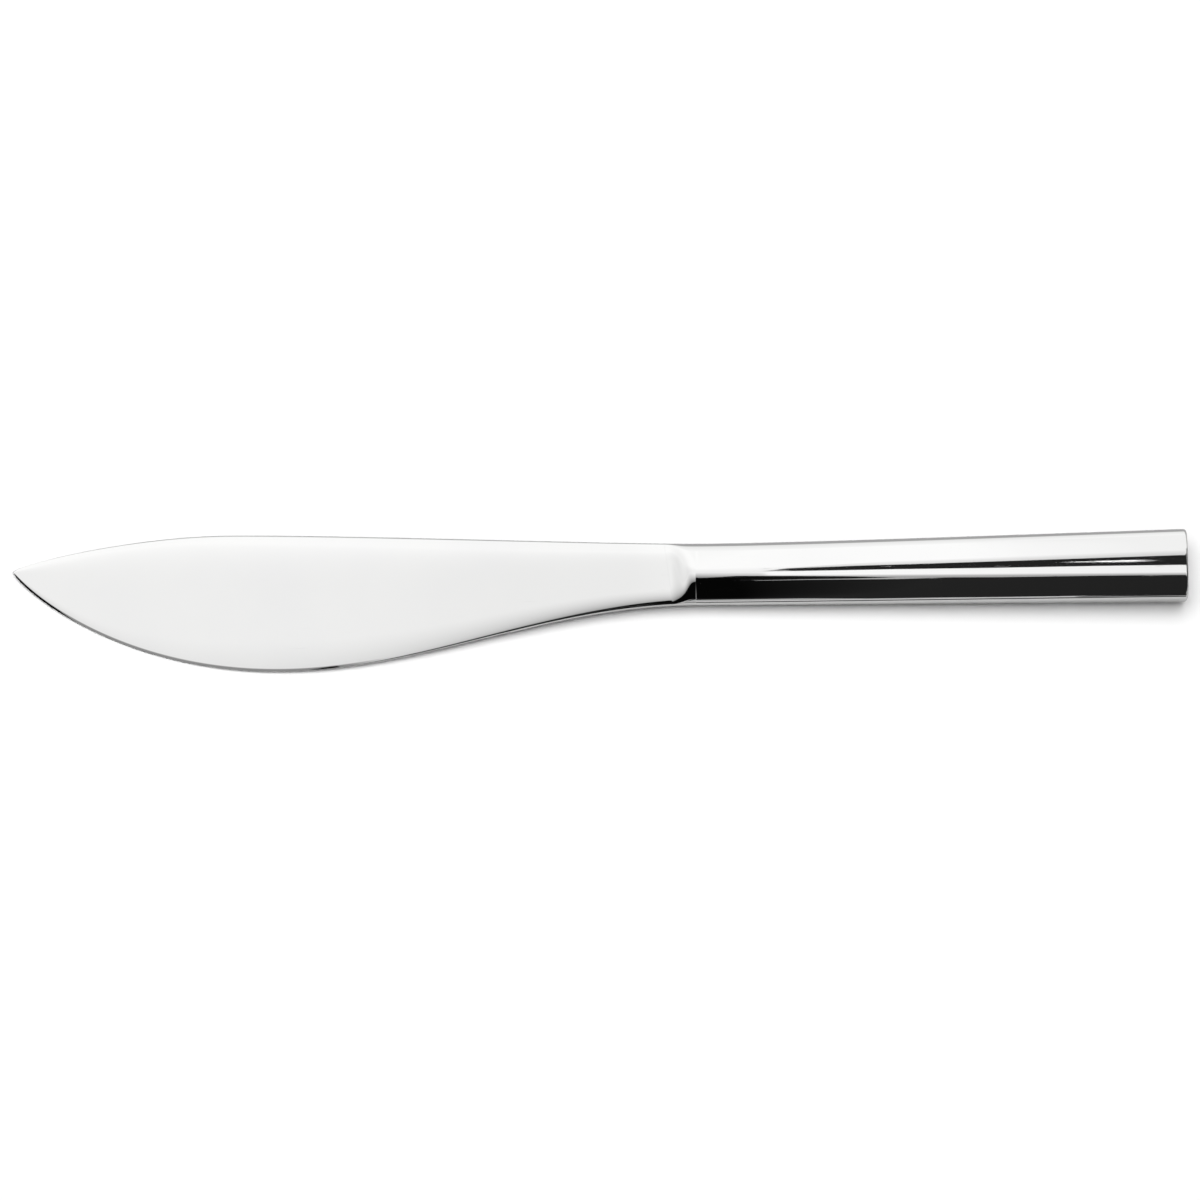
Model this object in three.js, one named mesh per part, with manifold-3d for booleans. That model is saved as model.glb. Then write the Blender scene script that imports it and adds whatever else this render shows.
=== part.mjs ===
// Cake knife: a flat-ground leaf blade, forged in one with its bolster and tang, in a hollow handle.
// Lengths are millimetres. The knife's own frame has x from the tip to the butt, y from the cutting edge
// to the spine and z out of the upper flank. The last step lays the knife on a table at z = 0.
import * as THREE from "three";
import { mergeVertices } from "three/addons/utils/BufferGeometryUtils.js";
import Module from "manifold-3d";

const wasm = await Module();
wasm.setup();

// Lengths along the knife
const BLADE_LENGTH = 158; // tip to the plane where the handle is welded on
const HANDLE_LENGTH = 112; // weld plane to the butt
const BUTT_X = BLADE_LENGTH + HANDLE_LENGTH;

// Spine line seen from above: tip, crest, neck and butt, and how far each bend pulls along its tangent
const CREST_X = 50;
const CREST_Y = 8.45;
const NECK_SPINE_Y = 5.78;
const BUTT_SPINE_Y = 8.35;
const TIP_SPINE_ANGLE = THREE.MathUtils.degToRad(55);
const TIP_SPINE_PULL = 2.4;
const CREST_PULL_FRONT = 22.5;
const CREST_PULL_BACK = 30.5;
const NECK_SPINE_PULL_FRONT = 20;
const NECK_SPINE_PULL_BACK = 12;
const BUTT_SPINE_PULL = 80;
const BUTT_SPINE_ANGLE = THREE.MathUtils.degToRad(1.6);

// Edge line seen from above, given the same way, with the belly as its deepest point
const BELLY_X = 62;
const BELLY_Y = -24;
const NECK_EDGE_Y = -8.75;
const BUTT_EDGE_Y = -8.4;
const TIP_EDGE_ANGLE = THREE.MathUtils.degToRad(-67);
const TIP_EDGE_PULL = 3.8;
const BELLY_PULL_FRONT = 38;
const BELLY_PULL_BACK = 32.6;
const NECK_EDGE_PULL_FRONT = 35.4;
const NECK_EDGE_PULL_BACK = 30;
const BUTT_EDGE_PULL = 30;
const BUTT_EDGE_ANGLE = THREE.MathUtils.degToRad(0.2);

// Thicknesses: the first three set the plane that each flank is ground to
const TIP_THICKNESS = 0.9;
const BELLY_THICKNESS = 0.6;
const HEEL_THICKNESS = 2.9; // on the spine
const HEEL_SETBACK = 8; // from the weld plane towards the tip
const HEEL_X = BLADE_LENGTH - HEEL_SETBACK;
const NECK_THICKNESS = 7.2;
const BUTT_THICKNESS = 9.4;

// Handle section: a superellipse that goes from oval at the neck to a soft rectangle at the butt
const NECK_SQUARENESS = 2;
const BUTT_SQUARENESS = 3;
const BUTT_EDGE_RADIUS = 0.7;

// Grinding: each flat flank has eased rims and runs out at the shoulder in a hollow
const FLANK_EASE = 0.22; // share of the flank's height that is taken off at its rims
const FLANK_EASE_POWER = 5; // exponent that keeps the easing close to the rims
const SHOULDER_RUN = 6.9; // from the start of the hollow to the weld plane, on the middle of the flank
const SHOULDER_SLANT = 1; // how much shorter the run is on the edge side, and longer on the spine side
const SHOULDER_RADIUS = 5;
const POLISH_POWER = 6; // the higher, the crisper the line where flank and forged bar meet

// Handle shells, their welds, and what the handle hides
const SHELL_WALL = 0.8;
const WELD_SIZE = 0.6; // half width and depth of a weld bead
const JOINT_GAP = 0.1; // between any two pieces that fit together
const SPIGOT_LENGTH = 6; // bolster plug inside the mouth of the shells
const TANG_LENGTH = 58; // beyond the weld plane
const TANG_WIDTH = 7;
const TANG_THICKNESS = 2.6;
const TANG_NOTCH_RADIUS = 1.2;
const TANG_NOTCH_SPACING = 14;
const TANG_NOTCHES = 3; // on each side
const CEMENT_LENGTH = 78; // beyond the weld plane

// Lying: the stretch of the cutting edge that touches the table
const REST_X = 23; // from the tip
const REST_SPAN = 8;

// How finely the curved forms are divided
const ACROSS_STEPS = 16;
const TIP_STEPS = 8;
const TIP_ZONE = 12;
const BLADE_STEPS = 18;
const SHOULDER_STEPS = 16;
const HANDLE_STEPS = 12;
const BUTT_STEPS = 5;
const ARC_STEPS = 8;
const OVERSHOOT = 1; // how far a cutting body runs past what it cuts
const TIP_FLAT = 0.08; // station of the first ring, just behind the point
const BISECTIONS = 40;

const lerp = THREE.MathUtils.lerp;

// A cubic curve from one point to another, leaving and arriving at the given angles.
function bend(from, leaveAngle, leavePull, to, arriveAngle, arrivePull) {
  const leave = new THREE.Vector2(Math.cos(leaveAngle), Math.sin(leaveAngle)).multiplyScalar(leavePull);
  const arrive = new THREE.Vector2(Math.cos(arriveAngle), Math.sin(arriveAngle)).multiplyScalar(arrivePull);
  return new THREE.CubicBezierCurve(from, from.clone().add(leave), to.clone().sub(arrive), to);
}

const TIP = new THREE.Vector2(0, 0);
const CREST = new THREE.Vector2(CREST_X, CREST_Y);
const BELLY = new THREE.Vector2(BELLY_X, BELLY_Y);
const NECK_SPINE = new THREE.Vector2(BLADE_LENGTH, NECK_SPINE_Y);
const NECK_EDGE = new THREE.Vector2(BLADE_LENGTH, NECK_EDGE_Y);
const BUTT_SPINE = new THREE.Vector2(BUTT_X, BUTT_SPINE_Y);
const BUTT_EDGE = new THREE.Vector2(BUTT_X, BUTT_EDGE_Y);

const SPINE_LINE = [
  bend(TIP, TIP_SPINE_ANGLE, TIP_SPINE_PULL, CREST, 0, CREST_PULL_FRONT),
  bend(CREST, 0, CREST_PULL_BACK, NECK_SPINE, 0, NECK_SPINE_PULL_FRONT),
  bend(NECK_SPINE, 0, NECK_SPINE_PULL_BACK, BUTT_SPINE, BUTT_SPINE_ANGLE, BUTT_SPINE_PULL),
];
const EDGE_LINE = [
  bend(TIP, TIP_EDGE_ANGLE, TIP_EDGE_PULL, BELLY, 0, BELLY_PULL_FRONT),
  bend(BELLY, 0, BELLY_PULL_BACK, NECK_EDGE, 0, NECK_EDGE_PULL_FRONT),
  bend(NECK_EDGE, 0, NECK_EDGE_PULL_BACK, BUTT_EDGE, BUTT_EDGE_ANGLE, BUTT_EDGE_PULL),
];

// The y of an outline at a station x. Each of its curves runs steadily towards the butt.
function lineAt(line, x) {
  const curve = line.find((candidate) => x <= candidate.v3.x) ?? line.at(-1);
  let low = 0;
  let high = 1;
  for (let step = 0; step < BISECTIONS; step += 1) {
    const middle = (low + high) / 2;
    if (curve.getPoint(middle).x < x) low = middle;
    else high = middle;
  }
  return curve.getPoint((low + high) / 2).y;
}

// Centre line and half width of the knife at a station x.
function planAt(x) {
  const spine = lineAt(SPINE_LINE, x);
  const edge = lineAt(EDGE_LINE, x);
  return { edge, centre: (spine + edge) / 2, half: (spine - edge) / 2 };
}

// The plane of the upper flank, through the three thicknesses that are given for the blade.
const FLANK = new THREE.Plane().setFromCoplanarPoints(
  new THREE.Vector3(TIP.x, TIP.y, TIP_THICKNESS / 2),
  new THREE.Vector3(BELLY_X, BELLY_Y, BELLY_THICKNESS / 2),
  new THREE.Vector3(HEEL_X, lineAt(SPINE_LINE, HEEL_X), HEEL_THICKNESS / 2),
);

// Height of the flank over the middle plane of the blade.
function flankAt(x, y) {
  return -(FLANK.normal.x * x + FLANK.normal.y * y + FLANK.constant) / FLANK.normal.z;
}

// Half thickness of the forged bar and of the handle, shrunk on all sides by an inset.
// The share runs from -1 on the cutting edge to 1 on the spine.
function forgedHalf(x, share, inset) {
  const past = (x - BLADE_LENGTH) / HANDLE_LENGTH;
  const thickness = lerp(NECK_THICKNESS, BUTT_THICKNESS, past);
  const crown = Math.min(thickness / 2, planAt(x).half) - inset;
  const power = lerp(NECK_SQUARENESS, BUTT_SQUARENESS, Math.max(0, past));
  return crown * Math.max(0, 1 - Math.abs(share) ** power) ** (1 / power);
}

// Half thickness that the grinding leaves: the flat flank with eased rims, and the hollow where it runs out.
function groundHalf(x, share) {
  const { centre, half } = planAt(x);
  const ease = 1 - FLANK_EASE * Math.abs(share) ** FLANK_EASE_POWER;
  const run = SHOULDER_RUN + SHOULDER_SLANT * share;
  const hollow = Math.max(0, x - BLADE_LENGTH + run) ** 2 / (2 * SHOULDER_RADIUS);
  return flankAt(x, centre + half * share) * ease + hollow;
}

// Half thickness of the blade and its shoulder: the lower of forging and grinding, polished over.
function bladeHalf(x, share) {
  const forged = forgedHalf(x, share, 0);
  const ratio = forged / groundHalf(x, share);
  return forged * (1 + ratio ** POLISH_POWER) ** (-1 / POLISH_POWER);
}

// Inset that rounds the edge of the butt.
function buttInset(x) {
  const past = Math.max(0, x - (BUTT_X - BUTT_EDGE_RADIUS));
  return BUTT_EDGE_RADIUS - Math.sqrt(Math.max(0, BUTT_EDGE_RADIUS ** 2 - past ** 2));
}

// Shares across the section from the spine to the edge, crowded at the rims where the form turns.
const SHARES = Array.from({ length: ACROSS_STEPS + 1 }, (_, step) => {
  const even = 1 - (2 * step) / ACROSS_STEPS;
  return Math.sin((Math.PI / 2) * Math.sin((Math.PI / 2) * even));
});

// The closed section of the knife at a station x, from the spine over the upper side and back below.
// An inset shrinks it for the inside of the handle; the rounded butt belongs to the outside alone.
function sectionRing(x, inset = 0) {
  const { centre, half } = planAt(x);
  const shrink = inset > 0 ? inset : buttInset(x);
  const onBlade = inset === 0 && x < BLADE_LENGTH;
  const upper = SHARES.map((share) => {
    const height = onBlade ? bladeHalf(x, share) : forgedHalf(x, share, shrink);
    return new THREE.Vector3(x, centre + (half - shrink) * share, height);
  });
  const lower = upper
    .slice(1, -1)
    .reverse()
    .map((point) => new THREE.Vector3(point.x, point.y, -point.z));
  return [...upper, ...lower];
}

// Evenly spaced stations, both ends included.
function spread(from, to, steps) {
  return Array.from({ length: steps + 1 }, (_, step) => lerp(from, to, step / steps));
}

// Stations of the whole knife: close together at the point, on the shoulder and round the butt.
const SHOULDER_START = BLADE_LENGTH - SHOULDER_RUN - SHOULDER_SLANT;
const STATIONS = [
  ...spread(0, 1, TIP_STEPS).map((part) => lerp(TIP_FLAT, TIP_ZONE, part ** 2)),
  ...spread(TIP_ZONE, SHOULDER_START, BLADE_STEPS).slice(1),
  ...spread(SHOULDER_START, BLADE_LENGTH, SHOULDER_STEPS).slice(1),
  ...spread(BLADE_LENGTH, BUTT_X - BUTT_EDGE_RADIUS, HANDLE_STEPS).slice(1),
  ...spread(0, Math.PI / 2, BUTT_STEPS)
    .slice(1)
    .map((angle) => BUTT_X - BUTT_EDGE_RADIUS * (1 - Math.sin(angle))),
];

// Stations between two given ones, with those two as the ends.
function stationsBetween(from, to) {
  return [from, ...STATIONS.filter((x) => x > from && x < to), to];
}

// Skin over a row of rings with equally many points, each ring counter-clockwise seen from the next one.
// A closed row comes round to its first ring; an open one gets a flat end at each side.
function skin(rings, closed = false) {
  const count = rings[0].length;
  const points = rings.flat();
  const corners = [];
  const last = closed ? rings.length : rings.length - 1;
  for (let ring = 0; ring < last; ring += 1) {
    const here = ring * count;
    const next = ((ring + 1) % rings.length) * count;
    for (let step = 0; step < count; step += 1) {
      const turn = (step + 1) % count;
      corners.push(here + step, here + turn, next + turn);
      corners.push(here + step, next + turn, next + step);
    }
  }
  if (!closed) {
    const final = (rings.length - 1) * count;
    const middle = (ring) =>
      ring.reduce((sum, point) => sum.add(point), new THREE.Vector3()).divideScalar(count);
    points.push(middle(rings[0]), middle(rings.at(-1)));
    for (let step = 0; step < count; step += 1) {
      const turn = (step + 1) % count;
      corners.push(points.length - 2, turn, step);
      corners.push(points.length - 1, final + step, final + turn);
    }
  }
  return new THREE.BufferGeometry().setFromPoints(points).setIndex(corners);
}

// A geometry as a solid for cutting and joining.
function solid(geometry) {
  const plain = new THREE.BufferGeometry().setAttribute("position", geometry.getAttribute("position"));
  plain.setIndex(geometry.index);
  const merged = mergeVertices(plain, 1e-5);
  const vertProperties = merged.getAttribute("position").array;
  const triVerts = new Uint32Array(merged.index.array);
  return new wasm.Manifold(new wasm.Mesh({ numProp: 3, vertProperties, triVerts }));
}

// The knife's outer form between two stations, or the inside of the handle when an inset is given.
function form(from, to, inset = 0) {
  return solid(skin(stationsBetween(from, to).map((x) => sectionRing(x, inset))));
}

// A bar of square section, standing on its corner, along a path. Half of it lies under the surface that
// the path runs on. The binormal is the direction across the path that stays the same all along it.
function cornerBar(path, binormal, size, closed = false) {
  const rings = path.map((point, index) => {
    const before = path.at(closed ? index - 1 : Math.max(0, index - 1));
    const after = path[closed ? (index + 1) % path.length : Math.min(path.length - 1, index + 1)];
    const tangent = new THREE.Vector3().subVectors(after, before).normalize();
    const outward = new THREE.Vector3().crossVectors(binormal, tangent).multiplyScalar(size);
    const across = binormal.clone().multiplyScalar(size);
    return [
      point.clone().add(outward),
      point.clone().add(across),
      point.clone().sub(outward),
      point.clone().sub(across),
    ];
  });
  return solid(skin(rings, closed));
}

// The parting line of the two shells, from a station on the spine side round the butt to the edge side.
function seamPath(from) {
  const stations = stationsBetween(from, BUTT_X);
  const rimPoint = (x, side) => {
    const { centre, half } = planAt(x);
    return new THREE.Vector3(x, centre + side * (half - buttInset(x)), 0);
  };
  const spineSide = stations.map((x) => rimPoint(x, 1));
  const edgeSide = stations.map((x) => rimPoint(x, -1)).reverse();
  return [...spineSide, ...edgeSide];
}

// Outline of the notched tang along x from the weld plane, grown on all sides for the cement round it.
function tangShape(grow) {
  const half = TANG_WIDTH / 2 + grow;
  const end = TANG_LENGTH - TANG_WIDTH / 2;
  const notch = TANG_NOTCH_RADIUS - grow;
  const firstNotch = end - TANG_NOTCH_SPACING / 2;
  const notches = Array.from({ length: TANG_NOTCHES }, (_, index) => firstNotch - index * TANG_NOTCH_SPACING);
  const side = TANG_WIDTH / 2;
  const reach = Math.sqrt(Math.max(0, notch ** 2 - grow ** 2));
  const turn = Math.asin(grow / notch);
  const shape = new THREE.Shape();
  shape.moveTo(-OVERSHOOT, -half);
  [...notches].reverse().forEach((x) => {
    shape.lineTo(x - reach, -half);
    shape.absarc(x, -side, notch, Math.PI + turn, -turn, true);
  });
  shape.absarc(end, 0, half, -Math.PI / 2, Math.PI / 2, false);
  notches.forEach((x) => {
    shape.lineTo(x + reach, half);
    shape.absarc(x, side, notch, turn, Math.PI - turn, true);
  });
  shape.lineTo(-OVERSHOOT, half);
  shape.closePath();
  return shape;
}

// The tang, set along the centre line of the handle.
function tangSolid(grow = 0) {
  const depth = TANG_THICKNESS + 2 * grow;
  const options = { depth, bevelEnabled: false, curveSegments: ARC_STEPS };
  const bar = new THREE.ExtrudeGeometry(tangShape(grow), options);
  const neckCentre = planAt(BLADE_LENGTH).centre;
  const tangEndX = BLADE_LENGTH + TANG_LENGTH;
  const slope = Math.atan2(planAt(tangEndX).centre - neckCentre, TANG_LENGTH);
  bar.translate(0, 0, -depth / 2);
  bar.rotateZ(slope);
  bar.translate(BLADE_LENGTH, neckCentre, 0);
  return solid(bar);
}

// Half space above or below the parting plane, clear of it by half a joint gap.
function halfSpace(side) {
  const size = 2 * (BUTT_X + OVERSHOOT);
  const box = new THREE.BoxGeometry(size, size, size);
  return solid(box.translate(0, 0, side * (size / 2 + JOINT_GAP / 2)));
}

// Welds: one ring at the mouth of the shells and one bead along their parting line
const RING_PATH = sectionRing(BLADE_LENGTH);
const RING_ACROSS = new THREE.Vector3(-1, 0, 0);
const SEAM_ACROSS = new THREE.Vector3(0, 0, 1);
const GROOVE_SIZE = WELD_SIZE + JOINT_GAP;
const seamStart = BLADE_LENGTH + WELD_SIZE + 2 * JOINT_GAP;
const ringGroove = cornerBar(RING_PATH, RING_ACROSS, GROOVE_SIZE, true);
const seamGroove = cornerBar(seamPath(BLADE_LENGTH - OVERSHOOT), SEAM_ACROSS, GROOVE_SIZE);
const weldZone = form(BLADE_LENGTH - 2 * WELD_SIZE, BLADE_LENGTH + 2 * WELD_SIZE);
const bolsterWeld = weldZone.intersect(cornerBar(RING_PATH, RING_ACROSS, WELD_SIZE, true));
const handleForm = form(BLADE_LENGTH + JOINT_GAP, BUTT_X);
const seamWeld = handleForm.intersect(cornerBar(seamPath(seamStart), SEAM_ACROSS, WELD_SIZE));

// Blade with the bolster plug and the tang
const INSIDE = SHELL_WALL + JOINT_GAP;
const spigotEnd = BLADE_LENGTH + SPIGOT_LENGTH;
const spigot = form(BLADE_LENGTH - OVERSHOOT, spigotEnd, INSIDE);
const blade = form(TIP_FLAT, BLADE_LENGTH).add(spigot).add(tangSolid()).subtract(ringGroove);

// Handle shells
const cavity = form(BLADE_LENGTH - OVERSHOOT, BUTT_X - SHELL_WALL, SHELL_WALL);
const casing = handleForm.subtract(cavity).subtract(ringGroove).subtract(seamGroove);
const upperShell = casing.intersect(halfSpace(1));
const lowerShell = casing.intersect(halfSpace(-1));

// Cement that beds the tang
const cementStart = spigotEnd + JOINT_GAP;
const cementPlug = form(cementStart, BLADE_LENGTH + CEMENT_LENGTH, INSIDE);
const cement = cementPlug.subtract(tangSolid(JOINT_GAP));

const STEEL = new THREE.MeshStandardMaterial({ color: 0xd6d7d8, roughness: 0.12, metalness: 1 });
const MORTAR = new THREE.MeshStandardMaterial({ color: 0x8d8981, roughness: 0.95, metalness: 0 });

// A named mesh of a finished solid.
function piece(name, body, material) {
  const { vertProperties, triVerts } = body.getMesh();
  const geometry = new THREE.BufferGeometry();
  geometry.setAttribute("position", new THREE.BufferAttribute(vertProperties, 3));
  geometry.setIndex(new THREE.BufferAttribute(triVerts, 1));
  const mesh = new THREE.Mesh(geometry, material);
  mesh.name = name;
  return mesh;
}

const knife = new THREE.Group();
knife.add(piece("blade", blade, STEEL));
knife.add(piece("upper_handle_shell", upperShell, STEEL));
knife.add(piece("lower_handle_shell", lowerShell, STEEL));
knife.add(piece("bolster_weld", bolsterWeld, STEEL));
knife.add(piece("seam_weld", seamWeld, STEEL));
knife.add(piece("tang_cement", cement, MORTAR));

// The knife lies on the curve of its cutting edge and on the neck of the handle
function edgeFoot(x) {
  const { edge } = planAt(x);
  return new THREE.Vector3(x, edge, -flankAt(x, edge));
}
const FEET = new THREE.Plane().setFromCoplanarPoints(
  edgeFoot(REST_X - REST_SPAN / 2),
  edgeFoot(REST_X + REST_SPAN / 2),
  new THREE.Vector3(BLADE_LENGTH, planAt(BLADE_LENGTH).centre, -NECK_THICKNESS / 2),
);
const up = FEET.normal.z > 0 ? FEET.normal.clone() : FEET.normal.clone().negate();
const along = new THREE.Vector3(1, 0, 0).projectOnPlane(up).normalize();
const across = new THREE.Vector3().crossVectors(up, along);
const lying = new THREE.Matrix4().makeBasis(along, across, up).transpose();
knife.quaternion.setFromRotationMatrix(lying);
const bounds = new THREE.Box3().setFromObject(knife, true);
const middle = bounds.getCenter(new THREE.Vector3());
knife.position.set(-middle.x, -middle.y, -bounds.min.z);

const part = new THREE.Group();
part.name = "cake_knife";
part.add(knife);

export default part;
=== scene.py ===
"""Looks of a cake knife: a flat-ground leaf blade with a forged shoulder, in a hollow polished handle.

The classes work in millimetres in the knife's own frame: x from the tip to the butt, y from the cutting edge
to the spine, z out of the upper flank. LyingPose lays every finished mesh on the table, in metres.
"""

import logging
import math
from dataclasses import dataclass
from enum import Enum
from functools import cached_property

import bmesh
import bpy
import numpy as np
from mathutils import Matrix, Vector


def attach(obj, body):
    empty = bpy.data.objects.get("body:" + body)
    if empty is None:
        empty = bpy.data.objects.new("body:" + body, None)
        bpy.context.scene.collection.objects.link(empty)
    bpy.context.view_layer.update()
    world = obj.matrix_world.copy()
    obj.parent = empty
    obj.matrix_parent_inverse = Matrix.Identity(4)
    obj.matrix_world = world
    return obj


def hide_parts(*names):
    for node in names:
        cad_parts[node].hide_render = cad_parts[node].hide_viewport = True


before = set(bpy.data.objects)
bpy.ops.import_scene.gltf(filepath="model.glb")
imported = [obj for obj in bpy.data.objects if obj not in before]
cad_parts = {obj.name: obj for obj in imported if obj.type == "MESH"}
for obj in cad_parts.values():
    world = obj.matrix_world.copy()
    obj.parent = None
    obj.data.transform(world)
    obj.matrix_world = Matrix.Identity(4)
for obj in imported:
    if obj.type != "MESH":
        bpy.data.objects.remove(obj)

LOG = logging.getLogger("cake_knife")
BODY = "root"
MM = 0.001  # metres in a millimetre
WELD_TOLERANCE = 1e-4  # millimetres between points that are one point
FLAT_TOLERANCE = 1e-5  # millimetres below which an edge has no length
SHARP_ANGLE = math.radians(35)  # edges that turn more than this stay crisp
HALVINGS = 50  # steps in which a station is searched on a curve
HALFWAY = 0.5  # divides numbers that mean no from numbers that mean yes
BOX_HALF = 0.5  # half a side of the plain box that is bent
WHITE = (1.0, 1.0, 1.0, 1.0)
BLACK = (0.0, 0.0, 0.0, 1.0)

Array = np.ndarray
Pair = tuple[float, float]
Spot = tuple[float, float, float]
Colour = tuple[float, float, float]
Socket = bpy.types.NodeSocket
Material = bpy.types.Material
Source = Socket | float | int | tuple
Inputs = dict[str | int, Source]


class Side(Enum):
    """Which of the two handle shells, as the sign of its z."""

    UPPER = 1
    LOWER = -1


# Form of the knife


@dataclass(frozen=True)
class Bend:
    """A cubic curve in plan from one point to another.

    An angle is the direction of an end in degrees, and a pull is how far the curve keeps to it.
    """

    start: Pair
    end: Pair
    leave_pull: float
    arrive_pull: float
    leave_angle: float = 0.0
    arrive_angle: float = 0.0

    def point(self, t: Array) -> Array:
        """Points of the curve.

        Args:
            t: Shares along the curve, from 0 to 1.

        Returns:
            An array with x and y in its first axis.
        """
        start = np.array(self.start)
        end = np.array(self.end)
        leave = math.radians(self.leave_angle)
        arrive = math.radians(self.arrive_angle)
        first = start + self.leave_pull * np.array((math.cos(leave), math.sin(leave)))
        second = end - self.arrive_pull * np.array((math.cos(arrive), math.sin(arrive)))
        weights = ((1 - t) ** 3, 3 * t * (1 - t) ** 2, 3 * t**2 * (1 - t), t**3)
        return sum(np.multiply.outer(p, w) for p, w in zip((start, first, second, end), weights))

    def y_at(self, x: Array) -> Array:
        """The y of the curve at stations x, found by halving, because the curve runs steadily in x.

        Args:
            x: Stations along the knife.

        Returns:
            One y for each station.
        """
        low = np.zeros_like(x)
        high = np.ones_like(x)
        for _ in range(HALVINGS):
            middle = (low + high) / 2
            before = self.point(middle)[0] < x
            low = np.where(before, middle, low)
            high = np.where(before, high, middle)
        return self.point((low + high) / 2)[1]


@dataclass(frozen=True)
class Outline:
    """A chain of bends from the tip to the butt."""

    bends: tuple[Bend, ...]

    def y_at(self, x: Array) -> Array:
        """The y of the outline at stations x.

        Args:
            x: Stations along the knife.

        Returns:
            One y for each station.
        """
        y = self.bends[-1].y_at(x)
        for bend in reversed(self.bends[:-1]):
            y = np.where(x <= bend.end[0], bend.y_at(x), y)
        return y


@dataclass(frozen=True)
class KnifeForm:
    """Sizes of the knife, and the surface that follows from them."""

    blade_length: float = 158.0
    handle_length: float = 112.0

    # Plan: spine side and edge side
    tip: Pair = (0.0, 0.0)
    crest: Pair = (50.0, 8.45)
    neck_spine_y: float = 5.78
    butt_spine_y: float = 8.35
    belly: Pair = (62.0, -24.0)
    neck_edge_y: float = -8.75
    butt_edge_y: float = -8.4

    # Thicknesses; the first three set the plane that each flank is ground to
    tip_thickness: float = 0.9
    belly_thickness: float = 0.6
    heel_thickness: float = 2.9
    heel_setback: float = 8.0
    neck_thickness: float = 7.2
    butt_thickness: float = 9.4

    # Section of the shoulder's edge side and of the handle, and the rim of the butt
    shoulder_squareness: float = 2.35
    neck_squareness: float = 2.0
    butt_squareness: float = 3.0
    butt_edge_radius: float = 0.7

    # Grinding: the ease of the flat flank's rims, the hollow in which it runs out at the shoulder, and how
    # crisply it meets the forged bar
    spine_ease: float = 0.22
    edge_ease: float = 0.17
    flank_ease_power: float = 5.0
    shoulder_run: float = 6.9
    shoulder_slant: float = 1.0
    shoulder_radius: float = 5.0
    polish_power: float = 6.0

    # Bevel of the cutting edge: width, slope, and the stretch in which it runs out towards the heel
    bevel_width: float = 0.6
    bevel_slope: float = 0.075
    bevel_end: float = 88.0
    bevel_run: float = 12.0

    # Lying: the stretch of the cutting edge that touches the table
    rest_x: float = 23.0
    rest_span: float = 8.0

    @property
    def butt_x(self) -> float:
        """Station of the butt."""
        return self.blade_length + self.handle_length

    @cached_property
    def spine_line(self) -> Outline:
        """Outline of the spine side.

        Returns:
            Bends from the tip to the crest, the neck and the butt.
        """
        neck = (self.blade_length, self.neck_spine_y)
        butt = (self.butt_x, self.butt_spine_y)
        return Outline((
            Bend(self.tip, self.crest, leave_pull=2.4, arrive_pull=22.5, leave_angle=55.0),
            Bend(self.crest, neck, leave_pull=30.5, arrive_pull=20.0),
            Bend(neck, butt, leave_pull=12.0, arrive_pull=80.0, arrive_angle=1.6),
        ))

    @cached_property
    def edge_line(self) -> Outline:
        """Outline of the cutting-edge side.

        Returns:
            Bends from the tip to the belly, the neck and the butt.
        """
        neck = (self.blade_length, self.neck_edge_y)
        butt = (self.butt_x, self.butt_edge_y)
        return Outline((
            Bend(self.tip, self.belly, leave_pull=3.8, arrive_pull=38.0, leave_angle=-67.0),
            Bend(self.belly, neck, leave_pull=32.6, arrive_pull=35.4),
            Bend(neck, butt, leave_pull=30.0, arrive_pull=30.0, arrive_angle=0.2),
        ))

    @cached_property
    def flank_plane(self) -> Array:
        """The plane of the upper flank, from the thickness at the tip, the belly and the heel.

        Returns:
            Rise along x, rise along y and height at the origin.
        """
        heel_x = self.blade_length - self.heel_setback
        heel_y = float(self.spine_line.y_at(np.array(heel_x)))
        feet = np.array(((*self.tip, 1.0), (*self.belly, 1.0), (heel_x, heel_y, 1.0)))
        heights = np.array((self.tip_thickness, self.belly_thickness, self.heel_thickness)) / 2
        return np.linalg.solve(feet, heights)

    def centre(self, x: Array) -> Array:
        """Centre line of the plan at stations x."""
        return (self.spine_line.y_at(x) + self.edge_line.y_at(x)) / 2

    def half(self, x: Array) -> Array:
        """Half width of the plan at stations x."""
        return (self.spine_line.y_at(x) - self.edge_line.y_at(x)) / 2

    def flank(self, x: Array, y: Array) -> Array:
        """Height of the ground flank over the middle plane."""
        rise_x, rise_y, height = self.flank_plane
        return rise_x * x + rise_y * y + height

    def along_handle(self, x: Array) -> Array:
        """Share of the handle's length, 0 at the neck and 1 at the butt, and below 0 on the blade."""
        return (x - self.blade_length) / self.handle_length

    def crown(self, x: Array) -> Array:
        """Half thickness of the forged bar and the handle at their middle."""
        thickness = self.neck_thickness + (self.butt_thickness - self.neck_thickness) * self.along_handle(x)
        return np.minimum(thickness / 2, self.half(x))

    def squareness(self, x: Array) -> Array:
        """Exponent of the handle's section."""
        along = np.maximum(0.0, self.along_handle(x))
        return self.neck_squareness + (self.butt_squareness - self.neck_squareness) * along

    @staticmethod
    def bulge(share: Array, power: Array) -> Array:
        """Height of a superellipse: 1 in its middle and 0 at both rims."""
        return np.maximum(0.0, 1 - np.abs(share) ** power) ** (1 / power)

    def handle_height(self, x: Array, share: Array, inset: float = 0.0) -> Array:
        """Half thickness of the forged bar and the handle, shrunk on all sides by an inset."""
        return (self.crown(x) - inset) * self.bulge(share, self.squareness(x))

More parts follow.
